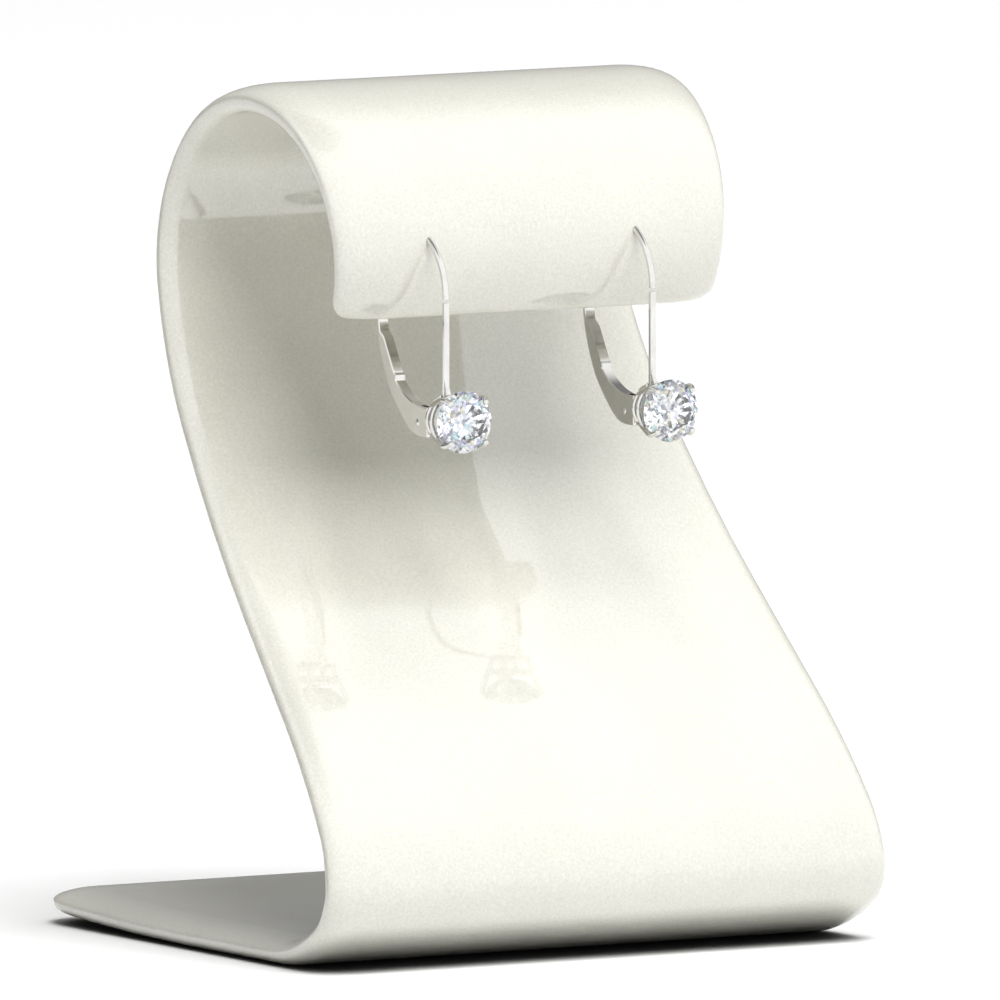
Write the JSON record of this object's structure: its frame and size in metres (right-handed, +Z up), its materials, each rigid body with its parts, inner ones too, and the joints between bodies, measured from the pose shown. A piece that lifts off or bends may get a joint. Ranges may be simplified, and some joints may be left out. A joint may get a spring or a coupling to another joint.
{
  "type": "pair of leverback earrings on a display stand",
  "caption": "Leverback earrings with round brilliant stones, hooked through the lip of a bent S-curved display stand.",
  "frame": {"origin": "centre of the stand's footprint, on the surface it stands on", "axes": "+X to the right as seen from the front, +Y to the back, +Z up; the earrings face -Y"},
  "size_m": [0.0542, 0.0507, 0.0718],
  "materials": {
    "stand_plastic": "glossy ivory plastic with a fine grain",
    "polished_metal": "polished white metal",
    "clear_stone": "faceted colourless stone"
  },
  "bodies": {
    "stand_and_settings": {"stand": "stand_plastic", "left_setting": "polished_metal", "left_stone": "clear_stone", "left_pin": "polished_metal", "right_setting": "polished_metal", "right_stone": "clear_stone", "right_pin": "polished_metal"},
    "left_lever_body": {"left_lever": "polished_metal"},
    "right_lever_body": {"right_lever": "polished_metal"}
  },
  "joints": [
    {"name": "left_lever_hinge", "type": "hinge", "parent": "stand_and_settings", "child": "left_lever_body", "pos_m": [-0.0104, -0.01195, 0.04417], "axis": [-1, 0, 0], "range_deg": [0, 60]},
    {"name": "right_lever_hinge", "type": "hinge", "parent": "stand_and_settings", "child": "right_lever_body", "pos_m": [0.0096, -0.01195, 0.04417], "axis": [-1, 0, 0], "range_deg": [0, 60]}
  ]
}
